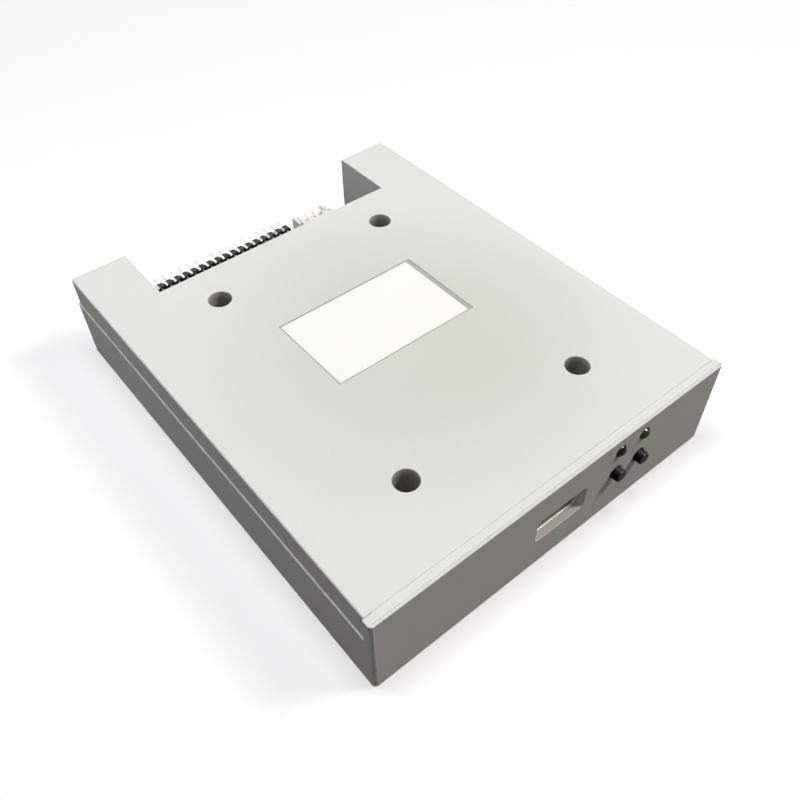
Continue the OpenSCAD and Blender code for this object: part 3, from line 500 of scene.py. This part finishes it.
for colour, resin in (("red", red_resin), ("green", green_resin)):
    centre, low, high = middle(colour + "_lamp")
    tip, back = low[1], high[1]
    lens_place = [(centre[0], 0, centre[2])]
    dome = arc((0, 0), LENS_R, -90, 0, DOME_STEPS)
    flange_front = back - FLANGE_T
    face_r = FLANGE_R - FLANGE_EDGE_R
    profile = [(radius, tip + DOME_H * (1 + rise / LENS_R)) for radius, rise in dome]
    profile += [(LENS_R, flange_front), (face_r, flange_front)]
    profile += arc((face_r, flange_front + FLANGE_EDGE_R), FLANGE_EDGE_R, -90, 0, FLANGE_STEPS)
    profile += [(FLANGE_R, back), (0, back)]
    add_piece(
        colour + "_lens",
        [(turned(profile, "y", lens_place), False)],
        resin,
        replaces=[colour + "_lamp"],
    )
    cup = tip + CUP_BACK
    cup_floor = cup + CUP_DEPTH
    profile = [(0, cup_floor), (CUP_FLOOR_R, cup_floor), (CUP_INNER_R, cup), (CUP_R, cup)]
    profile += [(CUP_R, cup_floor + CUP_WALL), (POST_R, cup_floor + CUP_DEPTH)]
    profile += [(POST_R, back - POST_STOP), (0, back - POST_STOP)]
    add_piece(
        colour + "_lamp_cup", [(turned(profile, "y", lens_place), False)], tinned_wire
    )

# %% [markdown]
# Bent pins
#
# The header pins are square tinned wire, bent down to the board, with a tapered tip. A curve with a
# bevel object could draw one. Carrying a square with broken corners along a path does the same for a whole
# row at once: the path runs level, round a quarter circle and down, and the square shrinks at its ends.

# %% A bent pin
CORNER_BREAK = 0.22
END_SHRINK = np.array([0.0, 0.5])
POINT_MM = 0.5
BEND_STEPS = 9
PIN_W = 0.64
PIN_BEND_R = 0.7


def bent_pins(columns, row_z, tip_y, drop_y, end_z):
    """Square wires bent from level to upright: a chamfered square follows a line from the tip, a quarter
    circle and a line down, once for each column. At both ends it shrinks to half its size and is closed
    by a small flat."""
    half = PIN_W / 2
    cut = half * (1 - 2 * CORNER_BREAK)
    square = np.array([(cut, half), (half, cut), (half, -cut), (cut, -half)])
    square = np.concatenate([square, -square])
    bend = np.radians(np.linspace(0, 90, BEND_STEPS))
    level_y = [tip_y, tip_y, tip_y - POINT_MM]
    bend_y = drop_y + PIN_BEND_R * (1 - np.sin(bend))
    bend_z = row_z - PIN_BEND_R * (1 - np.cos(bend))
    upright_z = [end_z + half, end_z, end_z]
    path_y = np.concatenate([level_y, bend_y, np.full_like(upright_z, drop_y)])
    path_z = np.concatenate([np.full_like(level_y, row_z), bend_z, upright_z])
    heading = np.concatenate([np.zeros_like(level_y), bend, np.full_like(upright_z, np.pi / 2)])
    swell = np.concatenate([END_SHRINK, np.ones(len(heading) - 2 * len(END_SHRINK)), END_SHRINK[::-1]])
    side = swell[:, None] * square[:, 0]
    rise = swell[:, None] * square[:, 1]
    y = path_y[:, None] - rise * np.sin(heading)[:, None]
    z = path_z[:, None] + rise * np.cos(heading)[:, None]
    x = np.array(columns)[:, None, None] + side[None]
    return np.stack([x, np.broadcast_to(y, x.shape), np.broadcast_to(z, x.shape)], -1)


print("pin width, mm:", PIN_W)

# %% [markdown]
# The data header has two rows of seventeen pins. The upper row reaches further forward before it drops,
# so that its tails stand one pitch in front of those of the lower row. The power header has one row of
# four.

# %% Pins of the headers
PIN_PITCH = 2.54
DATA_COLUMNS = 17
DATA_ROWS_Z = (11.21, 13.75)
POWER_PITCH = 2.5
POWER_PINS = 4


def row_of(count, pitch, centre_x):
    """Places along x, a pitch apart, on both sides of a centre."""
    return centre_x + (np.arange(count) - (count - 1) / 2) * pitch


centre, low, high = middle("data_pins")
data_columns = row_of(DATA_COLUMNS, PIN_PITCH, centre[0])
data_drops = (low[1] + PIN_W / 2 + PIN_PITCH, low[1] + PIN_W / 2)
data_rows = [
    (bent_pins(data_columns, row_z, high[1], drop, low[2]), False)
    for row_z, drop in zip(DATA_ROWS_Z, data_drops)
]
add_piece("data_header_pins", data_rows, tinned_wire, replaces=["data_pins"])

centre, low, high = middle("power_pins")
power_columns = row_of(POWER_PINS, POWER_PITCH, centre[0])
power_drop = low[1] + PIN_W / 2
power_row = bent_pins(power_columns, high[2] - PIN_W / 2, high[1], power_drop, low[2])
add_piece(
    "power_header_pins", [(power_row, False)], tinned_wire, replaces=["power_pins"]
)

# %% [markdown]
# The USB shell
#
# The shell is one strip of plated steel, folded round into a flat tube whose edges meet in a seam along
# the middle of its underside, with a thin flared lip at the mouth. The section is a rectangle with round
# corners and a small notch for the seam. It is drawn along the tube's outside, round the lip and back
# along the inside. Each row of the lip says how far it lies inside the section, and how far behind the
# lip's front.

# %% The folded tube
SHELL_T = 0.3
SHELL_R = 0.7
SHELL_H = 5.7
CORNER_STEPS = 7
SEAM_HALF_W = 0.14
SEAM_FLAT = 1 / 3
SEAM_DEPTH = 0.12
LIP_OUT = 0.5
LIP_OUTSIDE = ((0.0, 0.6), (-0.04, 0.3), (-0.06, 0.06), (-0.03, 0.0))
LIP_INSIDE = ((0.08, 0.0), (0.14, 0.03), (0.17, 0.1), (0.22, 0.6))
THROAT_DEPTH = 1.0


def shell_loop(half_x, half_z, inset):
    """Points round a rectangle with four round corners, moved inwards by the inset. The middle of the
    lower side dips in a small notch, where the edges of the folded strip meet."""
    radius = SHELL_R - inset
    quarter = np.radians(np.linspace(0, 90, CORNER_STEPS))
    turns = ((1, 1, 0), (-1, 1, np.pi / 2), (-1, -1, np.pi), (1, -1, np.pi * 1.5))
    corners = [
        np.stack(
            [
                sx * (half_x - SHELL_R) + radius * np.cos(quarter + start),
                sz * (half_z - SHELL_R) + radius * np.sin(quarter + start),
            ],
            -1,
        )
        for sx, sz, start in turns
    ]
    low = inset - half_z
    flat = SEAM_HALF_W * SEAM_FLAT
    seam = [(-SEAM_HALF_W, low), (-flat, low + SEAM_DEPTH), (flat, low + SEAM_DEPTH), (SEAM_HALF_W, low)]
    return np.concatenate([*corners[:3], seam, corners[3]])


shell_centre, shell_low, shell_high = middle("usb_shell")
mouth = shell_low[1]
shell_depth = shell_high[1] - mouth
shell_z = shell_high[2] - SHELL_H / 2
shell_half_x = shell_high[0] - shell_centre[0]
shell_rows = [(0.0, shell_depth)]
shell_rows += [(inset, back - LIP_OUT) for inset, back in LIP_OUTSIDE + LIP_INSIDE]
shell_rows += [(SHELL_T, THROAT_DEPTH), (SHELL_T, shell_depth)]
loops = np.stack([shell_loop(shell_half_x, SHELL_H / 2, inset) for inset, _ in shell_rows])
loop_y = np.array([mouth + back for _, back in shell_rows])
tube_x = loops[..., 0] + shell_centre[0]
tube_z = loops[..., 1] + shell_z
tube = np.stack([tube_x, np.broadcast_to(loop_y[:, None], tube_x.shape), tube_z], -1)[None]
print("shell mouth, mm:", round(2 * shell_half_x, 2), "by", SHELL_H)

# %% [markdown]
# Two tabs hold the shell in the board. Two spring fingers, cut from the underside and bowed up, hold the
# plug. A tab is a straight bar. A finger is a flat section carried along a bowed path, with closed ends.

# %% Tabs and spring fingers
TAB_BACK = 7.7
TAB_L = 2.4
FINGER_X = 2.8
FINGER_W = 1.7
FINGER_T = 0.2
FINGER_PATH = ((8.6, -0.1), (8.2, 0.0), (5.2, 0.34), (4.0, 0.42), (3.2, 0.36), (2.4, 0.16))


def upright_bar(low_corner, high_corner, foot, top):
    """A straight bar: a rectangle in plan is drawn from its foot to its top, and both ends shrink to the
    rectangle's middle."""
    (x0, y0), (x1, y1) = low_corner, high_corner
    outline = np.array([(x0, y0), (x1, y0), (x1, y1), (x0, y1)], float)
    closed = np.repeat(outline.mean(0)[None], len(outline), 0)
    plan = np.stack([closed, outline, outline, closed])
    levels = np.array([foot, foot, top, top])[:, None, None]
    z = np.broadcast_to(levels, (len(levels), len(outline), 1))
    return np.concatenate([plan, z], -1)[None]


tab_y = (mouth + TAB_BACK - TAB_L / 2, mouth + TAB_BACK + TAB_L / 2)
tab_spans = ((-shell_half_x, SHELL_T - shell_half_x), (shell_half_x - SHELL_T, shell_half_x))
tabs = [
    (upright_bar((x0, tab_y[0]), (x1, tab_y[1]), shell_low[2], shell_z), False) for x0, x1 in tab_spans
]
finger_y, finger_z = np.array(FINGER_PATH).T
finger_y = np.concatenate([finger_y[:1], finger_y, finger_y[-1:]]) + mouth
finger_z = np.concatenate([finger_z[:1], finger_z, finger_z[-1:]]) + shell_z - SHELL_H / 2 + SHELL_T
full = np.concatenate([[0.0], np.ones(len(FINGER_PATH)), [0.0]])[:, None]
section_x = full * np.array([-1, 1, 1, -1]) * FINGER_W / 2
section_y = np.broadcast_to(finger_y[:, None], section_x.shape)
section_z = full * np.array([-1, -1, 1, 1]) * FINGER_T / 2 + finger_z[:, None]
fingers = np.stack([np.stack([section_x + x, section_y, section_z], -1) for x in (-FINGER_X, FINGER_X)])
add_piece(
    "folded_usb_shell",
    [(tube, True), (fingers, False), *tabs],
    nickel_steel,
    replaces=["usb_shell"],
)

# %% [markdown]
# The seam behind the panel
#
# The cover's front edge rests on a small rebate behind the panel, so the seam between them is a shallow
# line and not a dark slit. The rebate is one bar across the case, just below the top.

# %% The seam behind the panel
REBATE_DROP = 0.2
REBATE_H = 0.8
REBATE_INSET_X = 2.4
REBATE_REACH = 0.12

panel_back = middle("top_cover")[1][1]
rebate_top = cad_high.z / MM - REBATE_DROP
rebate_half_x = cad_high.x / MM - REBATE_INSET_X
rebate = upright_bar(
    (-rebate_half_x, panel_back - REBATE_REACH),
    (rebate_half_x, panel_back + REBATE_REACH),
    rebate_top - REBATE_H,
    rebate_top,
)
add_piece("seam_rebate", [(rebate, False)], case_abs)

# %% [markdown]
# Solder in the bay
#
# The notch shows a strip of the board. Each pin of the two headers has a ring of solder there, which is
# drawn up the pin as a hollow cone. The ring is a turned profile that gets steeper by a square law.

# %% Solder in the bay
RING_R = 0.78
RING_STEPS = 6
RING_FOOT = 0.04
RING_RISE = 0.55

board_top = middle("main_board")[2][2]
pin_half = PIN_W / 2
climb = np.linspace(0, 1, RING_STEPS)[1:]
cone_r = pin_half + (RING_R - pin_half) * (1 - climb) ** 2
cone_z = board_top + RING_FOOT + RING_RISE * climb
ring_profile = [(0, board_top), (RING_R, board_top), (RING_R, board_top + RING_FOOT)]
ring_profile += list(zip(cone_r, cone_z))
ring_profile += [(0, board_top + RING_RISE)]
ring_places = [(x, drop, 0) for drop in data_drops for x in data_columns]
ring_places += [(x, power_drop, 0) for x in power_columns]
add_piece(
    "bay_solder_rings", [(turned(ring_profile, "z", ring_places), False)], solder_tin
)

# %% [markdown]
# Thin copper traces run forward from the pins, under the green lacquer. A trace is a flat strip carried
# along a path with one slanted step, to one side or the other, so that neighbours keep apart.

# %% Traces in the bay
TRACE_W = 0.35
TRACE_T = 0.03
TRACE_START = 2.2
TRACE_STEP = 1.27
TRACE_SHORT_STEP = 0.6
TRACE_END_Y = 43.2
HALF_BEND = math.radians(22.5)


def traces(columns, start_y, step):
    """Flat strips along y: each runs forward from its column, steps aside at 45 degrees and runs on to
    the cover's wall. Both edges are mitred at the bends by the tangent of half the bend."""
    reach = TRACE_START + abs(step)
    x = np.array(columns)[:, None] + np.array([0.0, 0.0, step, step])
    y = np.broadcast_to([start_y, start_y - TRACE_START, start_y - reach, TRACE_END_Y], x.shape)
    slant = math.tan(HALF_BEND) * math.copysign(1, step)
    lag = np.array([0.0, slant, slant, 0.0])
    top, foot = board_top + TRACE_T, board_top - TRACE_T
    edges = [
        np.stack([x + side * TRACE_W / 2, y + side * lag * TRACE_W / 2, np.full_like(x, z)], -1)
        for side, z in ((-1, foot), (-1, top), (1, top), (1, foot))
    ]
    strip = np.stack(edges, 2)
    ends = np.repeat(strip[:, [0, -1]].mean(2, keepdims=True), len(edges), 2)
    return np.concatenate([ends[:, :1], strip, ends[:, 1:]], 1)


trace_groups = (
    (data_columns[::2], data_drops[1], TRACE_STEP),
    (data_columns[1::2], data_drops[1], -TRACE_SHORT_STEP),
    (power_columns, power_drop, -TRACE_STEP),
)
trace_grids = [(traces(*group), False) for group in trace_groups]
add_piece("bay_traces", trace_grids, masked_copper)

# %% [markdown]
# The carried-over solids
#
# The rest of the solids keep their shape, which is right and would only be drawn a second time. Each gets
# its finish, and the sharp edges of a moulding or a pressing are broken by a fine bevel, because a real
# edge is never a line without width. The table gives the finish and the bevel's width in millimetres.

# %% Finishes of the solids
kept = {
    "bottom_case": (case_abs, 0.15),
    "top_cover": (case_abs, 0.15),
    "label": (label_paper, 0.03),
    "main_board": (solder_mask, 0),
    "cover_screws": (zinc_steel, 0.06),
    "usb_tongue": (white_nylon, 0.08),
    "usb_contacts": (gilt_bronze, 0.04),
    "lamp_leads": (tinned_wire, 0.04),
    "left_switch_base": (chip_epoxy, 0.1),
    "right_switch_base": (chip_epoxy, 0.1),
    "left_switch_bracket": (nickel_steel, 0.05),
    "right_switch_bracket": (nickel_steel, 0.05),
    "left_switch_dome": (nickel_steel, 0),
    "right_switch_dome": (nickel_steel, 0),
    "data_header": (header_resin, 0.04),
    "power_header": (white_nylon, 0.08),
    "jumper_header": (header_resin, 0.06),
    "jumper_pins": (tinned_wire, 0.08),
    "jumper_cap": (black_nylon, 0.1),
    "processor": (chip_epoxy, 0.1),
    "processor_leads": (tinned_wire, 0),
    "bus_drivers": (chip_epoxy, 0.1),
    "driver_leads": (tinned_wire, 0),
    "regulator": (chip_epoxy, 0.1),
    "crystal": (nickel_steel, 0.15),
    "capacitors": (bare_aluminium, 0.15),
    "chip_resistors": (chip_epoxy, 0.05),
}
for node_name, (finish, _) in kept.items():
    slots = nodes[node_name].data.materials
    slots.clear()
    slots.append(finish)
print("solids kept:", len(kept))

# %% [markdown]
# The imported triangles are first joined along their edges, and flat ones are put together as one face, so
# that the bevel meets only real edges. Flat faces keep flat normals beside it.

# %% Broken edges
BEVEL_STEPS = 2
BEVEL_ANGLE = math.radians(35)
WELD_MM = 0.001
PLAIN_ANGLE = math.radians(0.2)


def break_edges(solid, width_mm):
    """Four modifiers on a solid: weld, dissolve of flat faces, bevel and weighted normals."""
    weld = solid.modifiers.new("joined_edges", "WELD")
    weld.merge_threshold = WELD_MM * MM
    plain = solid.modifiers.new("plain_faces", "DECIMATE")
    plain.decimate_type = "DISSOLVE"
    plain.angle_limit = PLAIN_ANGLE
    bevel = solid.modifiers.new("broken_edges", "BEVEL")
    bevel.width = width_mm * MM
    bevel.segments = BEVEL_STEPS
    bevel.limit_method = "ANGLE"
    bevel.angle_limit = BEVEL_ANGLE
    bevel.use_clamp_overlap = False
    solid.modifiers.new("flat_normals", "WEIGHTED_NORMAL")


bevelled = {node_name: width for node_name, (_, width) in kept.items() if width}
for node_name, width in bevelled.items():
    break_edges(nodes[node_name], width)
print("solids with broken edges:", len(bevelled))

# %% [markdown]
# Floor and background
#
# The floor is white to the camera and in reflections, and a dark grey to the light that bounces off it,
# so that the shaded sides stay as dark as they are. It keeps the object's shadow. Far from the object it
# fades into the white background, so that no horizon shows.

# %% Floor
FLOOR_HALF_MM = 2000
FLOOR_DROP_MM = 0.05

corners = FLOOR_HALF_MM * np.array([[(-1, -1), (1, -1)], [(-1, 1), (1, 1)]])
floor_mesh = bpy.data.meshes.new("floor")
floor_points = np.concatenate([corners, np.full((2, 2, 1), -FLOOR_DROP_MM)], -1).reshape(-1, 3) * MM
floor_mesh.from_pydata(floor_points, [], [(0, 1, 3, 2)])
floor = bpy.data.objects.new("floor", floor_mesh)
bpy.context.scene.collection.objects.link(floor)
print("floor, mm:", 2 * FLOOR_HALF_MM)

# %% [markdown]
# The paper floor is a mix of two looks. Rays that show it, which come from the camera, a gloss or a clear
# body, find white paper with a glow. All others find the dark grey.

# %% Paper floor
FLOOR_SEEN = 0.55
FLOOR_GLOW = 0.5
FLOOR_BOUNCE = "#2B2B2B"
FLOOR_FADE_MM = (160, 520)


def showing_rays(tree):
    """1 for rays from the camera, a gloss or a clear body, and 0 for light that bounces."""
    camera_rays = add_node(tree, "LightPath", out="Is Camera Ray")
    glossy_rays = add_node(tree, "LightPath", out="Is Glossy Ray")
    clear_rays = add_node(tree, "LightPath", out="Is Transmission Ray")
    shown = add_node(tree, "Math", {0: camera_rays, 1: glossy_rays}, operation="MAXIMUM")
    return add_node(tree, "Math", {0: shown, 1: clear_rays}, operation="MAXIMUM")


paper_floor = bpy.data.materials.new("white_paper_floor")
paper_floor.use_nodes = True
tree = paper_floor.node_tree
tree.nodes.clear()
dull = add_node(tree, "BsdfDiffuse", {"Color": srgb(FLOOR_BOUNCE)})
bright = add_node(tree, "BsdfDiffuse", {"Color": (FLOOR_SEEN, FLOOR_SEEN, FLOOR_SEEN, 1)})
glow = add_node(tree, "Emission", {"Strength": FLOOR_GLOW})
near_floor = add_node(tree, "AddShader", {0: bright, 1: glow})
far_floor = add_node(tree, "Emission", {"Strength": 1.0})
floor_place = add_node(tree, "TexCoord", out="Object")
reach = add_node(tree, "VectorMath", {0: floor_place}, "Value", operation="LENGTH")
fade_ends = {"From Min": FLOOR_FADE_MM[0] * MM, "From Max": FLOOR_FADE_MM[1] * MM}
fade = add_node(tree, "MapRange", {"Value": reach, **fade_ends}, interpolation_type="SMOOTHSTEP")
shown_floor = add_node(tree, "MixShader", {0: fade, 1: near_floor, 2: far_floor})
floor_look = add_node(tree, "MixShader", {0: showing_rays(tree), 1: dull, 2: shown_floor})
add_node(tree, "OutputMaterial", {"Surface": floor_look})
floor_mesh.materials.append(paper_floor)
print("floor fades from and to, mm:", FLOOR_FADE_MM)

# %% [markdown]
# Light
#
# The photograph is lit from above by a wide soft light, with a window high at the front right that draws
# the shadows of the buttons over the front panel. A weak light behind the left side shows the ledge of
# the seam, and a dim card at the front left opens up the near corner. A light has a place, an aim and a
# size in millimetres, its watts and its spread in degrees.

# %% Lights
lights = {
    "overhead_softbox": ((-42, 30, 800), (0, 0, 25), (130, 420), 3.95, 180),
    "right_window": ((850, -540, 1170), (0, 0, 12), (340, 340), 9.6, 180),
    "rear_left_window": ((-440, 582, 245), (-9, 57, 14), (90, 200), 0.012, 20),
    "front_left_card": ((-430, -570, 160), (-20, -60, 12), (300, 200), 0.38, 180),
    "glint_bulb": ((462, -333, 741), (21, -63, 21), (180, 180), 280, 180),
}
light_tints = {
    "right_window": (1.0, 0.94, 0.9),
    "front_left_card": (1.0, 0.9, 0.86),
    "overhead_softbox": (0.985, 1.0, 1.03),
}
for light_name, (place_mm, aim_mm, size_mm, watts, spread_degrees) in lights.items():
    light = bpy.data.lights.new(light_name, "AREA")
    light.color = light_tints.get(light_name, (1, 1, 1))
    light.shape = "RECTANGLE"
    light.size = size_mm[0] * MM
    light.size_y = size_mm[1] * MM
    light.energy = watts
    light.spread = math.radians(spread_degrees)
    stand = bpy.data.objects.new(light_name, light)
    bpy.context.scene.collection.objects.link(stand)
    stand.location = Vector(place_mm) * MM
    stand.rotation_euler = (Vector(aim_mm) - Vector(place_mm)).to_track_quat("-Z", "Y").to_euler()
print("lights:", len(lights))

# %% [markdown]
# The bright points on the lamps and buttons are reflections of a small bulb. On the case it would be too
# strong, so light linking lets only these pieces see it, and only in their gloss.

# %% Glints
GLINT_PIECES = ("red_lens", "green_lens", "left_button_cap", "right_button_cap")

glint_pieces = bpy.data.collections.new("glint_pieces")
for piece_name in GLINT_PIECES:
    glint_pieces.objects.link(bpy.data.objects[piece_name])
bulb = bpy.data.objects["glint_bulb"]
bulb.light_linking.receiver_collection = glint_pieces
bulb.visible_diffuse = False
bulb.visible_transmission = False

# %% [markdown]
# The background is white where it is seen, and nearly dark as a light, so that the lights above shape
# the object. Colours are shown as they are, without a film look.

# %% Background
WORLD_LIGHT = 0.045

world = bpy.data.worlds.new("studio")
world.use_nodes = True
tree = world.node_tree
tree.nodes.clear()
sky_ends = {"To Min": WORLD_LIGHT, "To Max": 1.0}
strength = add_node(tree, "MapRange", {"Value": showing_rays(tree), **sky_ends})
sky = add_node(tree, "Background", {"Color": (1, 1, 1, 1), "Strength": strength})
add_node(tree, "OutputWorld", {"Surface": sky})
bpy.context.scene.world = world
bpy.context.scene.view_settings.view_transform = "Standard"
print("light from the background:", WORLD_LIGHT)
